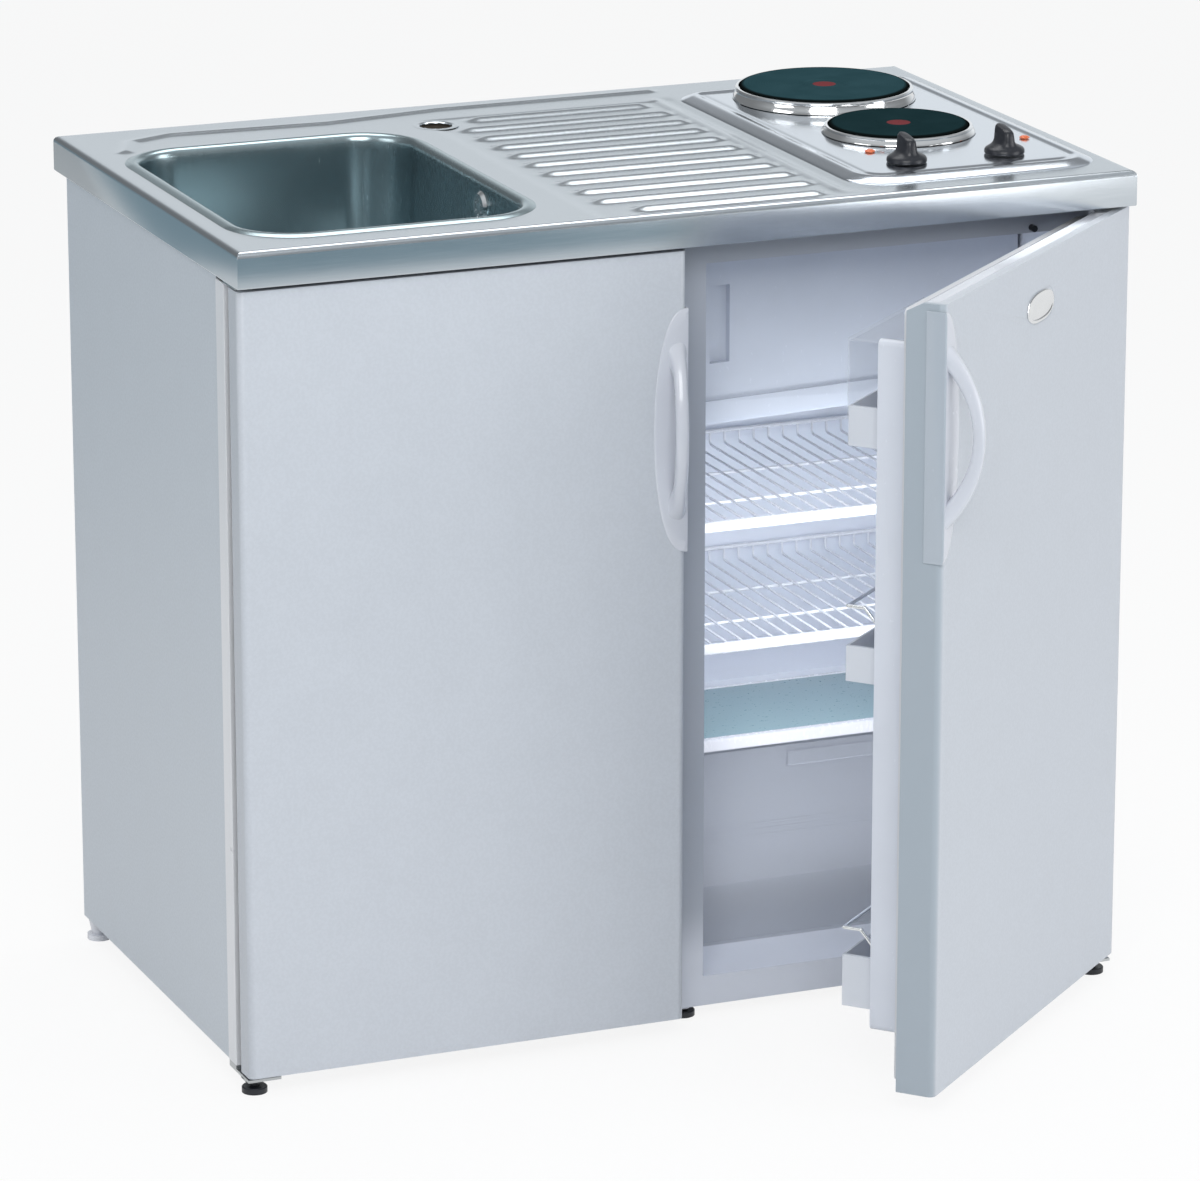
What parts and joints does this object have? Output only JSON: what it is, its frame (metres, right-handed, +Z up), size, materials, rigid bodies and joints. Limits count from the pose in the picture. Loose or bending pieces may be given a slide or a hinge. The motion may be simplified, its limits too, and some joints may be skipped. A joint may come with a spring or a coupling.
{
  "type": "kitchenette unit with sink and hob",
  "caption": "Compact kitchen unit: steel worktop with bowl, drainer and electric hotplates over a cupboard and a refrigerator whose door stands open",
  "frame": {"origin": "on the floor, midway between the worktop's ends and its front and rear edges; the corner feet's centre lies 7 mm in front of it", "axes": "+X to the right seen from the front, +Y to the wall behind, +Z up"},
  "size_m": [1.0044, 0.9272, 0.9363],
  "materials": {
    "stainless": "fine brushed",
    "core_board": "raw particle board",
    "chrome": "polished",
    "waste_plastic": "moulded",
    "zinc_steel": "zinc plated",
    "cast_iron": "dark coated",
    "black_plastic": "moulded",
    "black_paint": "satin black",
    "lens": "translucent",
    "door_coat": "textured powder coat",
    "side_coat": "textured powder coat",
    "white_paint": "gloss white",
    "white_plastic": "moulded",
    "foam": "rigid foam",
    "aluminium": "matt",
    "clear_plastic": "clear",
    "glass": "clear",
    "gasket_rubber": "soft"
  },
  "bodies": {
    "carcass": {"worktop": "stainless", "worktop_core": "core_board", "sink_bowl": "stainless", "sink_fittings": "chrome", "waste_trap": "waste_plastic", "plug_chain": "chrome", "hob_panel": "stainless", "hob_tray": "zinc_steel", "plate_rear": "cast_iron", "plate_front": "cast_iron", "trim_rings": "chrome", "hob_switches": "white_plastic", "indicator_lenses": "lens", "side_left": "side_coat", "side_right": "side_coat", "back_panel": "zinc_steel", "base_panel": "side_coat", "partition": "side_coat", "face_frame": "white_paint", "cross_rails": "zinc_steel", "cabinet_shelf": "side_coat", "hinge_brackets": "zinc_steel", "foot_sockets": "white_plastic", "magnet_catch": "white_plastic", "terminal_box": "waste_plastic", "case_shell": "door_coat", "case_insulation": "foam", "case_liner": "white_plastic", "evaporator": "aluminium", "crisper_cover": "glass", "thermostat_box": "white_plastic", "compressor": "black_paint", "condenser": "black_paint"},
    "fridge_door": {"fdoor_skin": "door_coat", "fdoor_caps": "white_plastic", "fdoor_insulation": "foam", "fdoor_liner": "white_plastic", "door_gasket": "gasket_rubber", "fdoor_handle": "white_plastic", "rack_top": "white_plastic", "rack_mid": "white_plastic", "rack_bottom": "white_plastic", "rack_wires": "chrome"},
    "butter_lid": {"butter_lid": "clear_plastic"},
    "cabinet_door": {"cdoor_skin": "door_coat", "cdoor_back": "door_coat", "cdoor_bushes": "white_plastic", "cdoor_handle": "white_plastic"},
    "freezer_flap": {"freezer_flap": "white_plastic"},
    "shelf_upper": {"shelf_upper": "white_plastic"},
    "shelf_lower": {"shelf_lower": "white_plastic"},
    "crisper": {"crisper": "clear_plastic"},
    "knob_left": {"knob_left": "black_plastic"},
    "knob_right": {"knob_right": "black_plastic"},
    "thermostat_dial": {"thermostat_dial": "white_plastic"},
    "lamp_switch": {"lamp_switch": "black_plastic"},
    "foot_left": {"foot_left": "black_plastic"},
    "foot_right": {"foot_right": "black_plastic"},
    "foot_case_left": {"foot_case_left": "black_plastic"},
    "foot_case_right": {"foot_case_right": "black_plastic"}
  },
  "joints": [
    {"name": "fridge_door_swing", "type": "hinge", "parent": "carcass", "child": "fridge_door", "pos_m": [0.48, -0.268, 0.44], "axis": [0, 0, 1], "range_deg": [-41.6, 78.4]},
    {"name": "cabinet_door_swing", "type": "hinge", "parent": "carcass", "child": "cabinet_door", "pos_m": [-0.48, -0.274, 0.44], "axis": [0, 0, -1], "range_deg": [0, 110]},
    {"name": "freezer_flap_swing", "type": "hinge", "parent": "carcass", "child": "freezer_flap", "pos_m": [0.449, -0.104, 0.727], "axis": [0, 0, 1], "range_deg": [-6, 37]},
    {"name": "butter_lid_lift", "type": "hinge", "parent": "fridge_door", "child": "butter_lid", "pos_m": [0.21596, -0.46765, 0.795], "axis": [0.7478, 0.6639, 0], "range_deg": [0, 75]},
    {"name": "knob_left_turn", "type": "hinge", "parent": "carcass", "child": "knob_left", "pos_m": [0.283, -0.192, 0.92], "axis": [0, 0, 1], "continuous": true},
    {"name": "knob_right_turn", "type": "hinge", "parent": "carcass", "child": "knob_right", "pos_m": [0.397, -0.192, 0.92], "axis": [0, 0, 1], "continuous": true},
    {"name": "thermostat_turn", "type": "hinge", "parent": "carcass", "child": "thermostat_dial", "pos_m": [0.42, -0.038, 0.5852], "axis": [-1, 0, 0], "range_deg": [-150, 150]},
    {"name": "lamp_switch_press", "type": "slide", "parent": "carcass", "child": "lamp_switch", "axis": [0, 1, 0], "range_m": [0, 0.005], "stiffness_N_per_m": 200, "springref_m": -0.002},
    {"name": "shelf_upper_slide", "type": "slide", "parent": "carcass", "child": "shelf_upper", "axis": [0, -1, 0], "range_m": [0, 0.05]},
    {"name": "shelf_lower_slide", "type": "slide", "parent": "carcass", "child": "shelf_lower", "axis": [0, -1, 0], "range_m": [0, 0.05]},
    {"name": "crisper_slide", "type": "slide", "parent": "carcass", "child": "crisper", "axis": [0, -1, 0], "range_m": [0, 0.05]},
    {"name": "foot_left_turn", "type": "hinge", "parent": "carcass", "child": "foot_left", "pos_m": [-0.484, -0.266, 0.005], "axis": [0, 0, 1], "continuous": true},
    {"name": "foot_right_turn", "type": "hinge", "parent": "carcass", "child": "foot_right", "pos_m": [0.484, -0.266, 0.005], "axis": [0, 0, 1], "continuous": true},
    {"name": "foot_case_left_turn", "type": "hinge", "parent": "carcass", "child": "foot_case_left", "pos_m": [0.017, -0.222, 0.005], "axis": [0, 0, 1], "continuous": true},
    {"name": "foot_case_right_turn", "type": "hinge", "parent": "carcass", "child": "foot_case_right", "pos_m": [0.475, -0.222, 0.005], "axis": [0, 0, 1], "continuous": true}
  ]
}
